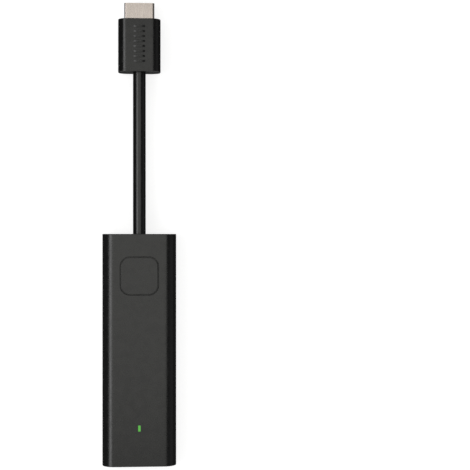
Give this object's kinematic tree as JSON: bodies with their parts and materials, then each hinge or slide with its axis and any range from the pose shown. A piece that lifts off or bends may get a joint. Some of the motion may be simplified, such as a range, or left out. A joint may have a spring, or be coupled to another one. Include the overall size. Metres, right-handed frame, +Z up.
{
  "type": "streaming media player",
  "caption": "Slim black media player stick with a square button, a small status light and a short captive lead that ends in a flat video plug.",
  "frame": {"origin": "on the underside, below the middle of the stick's body", "axes": "+Z up through the face with the button, +Y along the lead towards the plug, +X to the right when the button faces the viewer and the plug points up"},
  "size_m": [0.0342, 0.2146, 0.012],
  "materials": {
    "casing": "fine matt texture",
    "button": "fine matt texture",
    "light_pipe": "translucent, lit green",
    "lamp": "clear lens on a white package",
    "label": "blank printed film",
    "board": "solder mask over woven laminate",
    "chip": "moulded resin",
    "passive": "small tan parts with tinned ends",
    "coil": "sintered ferrite",
    "can_steel": "tinned sheet",
    "thermal_pad": "soft filled silicone",
    "spreader": "stamped plate",
    "copper_foil": "copper foil",
    "antenna": "plated bronze strip",
    "switch_body": "moulded nylon",
    "plunger": "moulded acetal",
    "dome": "spring steel",
    "socket_steel": "deep-drawn steel",
    "gold": "gold-plated contacts",
    "insulator": "glass-filled resin",
    "white_resin": "natural resin",
    "wires": "coloured wire insulation",
    "ferrule": "crimped brass",
    "grommet": "soft moulding",
    "lead_jacket": "smooth satin jacket",
    "plug_grip": "moulded grip, satin",
    "plug_nickel": "nickel-plated sheet, satin"
  },
  "bodies": {
    "housing": {"top_cover": "casing", "bottom_cover": "casing", "rating_label": "label", "light_pipe": "light_pipe", "status_led": "lamp", "switch_base": "switch_body", "switch_dome": "dome", "main_board": "board", "processor": "chip", "memory_chips": "chip", "storage_chip": "chip", "power_controller": "chip", "power_inductors": "coil", "board_capacitors": "passive", "clock_crystal": "can_steel", "shield_frame": "can_steel", "shield_lid": "can_steel", "processor_pad": "thermal_pad", "spreader_pad": "thermal_pad", "heat_spreader": "spreader", "storage_pad": "thermal_pad", "bottom_spreader": "copper_foil", "radio_board": "board", "radio_can": "can_steel", "antenna_left": "antenna", "antenna_right": "antenna", "power_port_shell": "socket_steel", "power_port_tongue": "insulator", "power_port_contacts": "gold", "lead_socket": "white_resin", "lead_header": "white_resin", "lead_wires": "wires", "lead_ferrule": "ferrule", "lead_tail": "lead_jacket", "lead_grommet": "grommet", "lead_jacket": "lead_jacket", "plug_overmold": "plug_grip", "plug_lead_tail": "lead_jacket", "plug_ferrule": "ferrule", "plug_can": "can_steel", "plug_inner_mould": "white_resin", "plug_wires": "wires", "plug_shell": "plug_nickel", "plug_insulator": "insulator", "plug_contacts": "gold"},
    "button": {"button_cap": "button"},
    "plunger": {"switch_plunger": "plunger"}
  },
  "joints": [
    {"name": "button_press", "type": "slide", "parent": "housing", "child": "button", "axis": [0, 0, -1], "range_m": [0, 0.0003], "stiffness_N_per_m": 2000},
    {"name": "plunger_press", "type": "slide", "parent": "housing", "child": "plunger", "axis": [0, 0, -1], "range_m": [0, 0.0003]}
  ],
  "couplings": [
    {"joint": "plunger_press", "follows": "button_press", "ratio": 1}
  ]
}
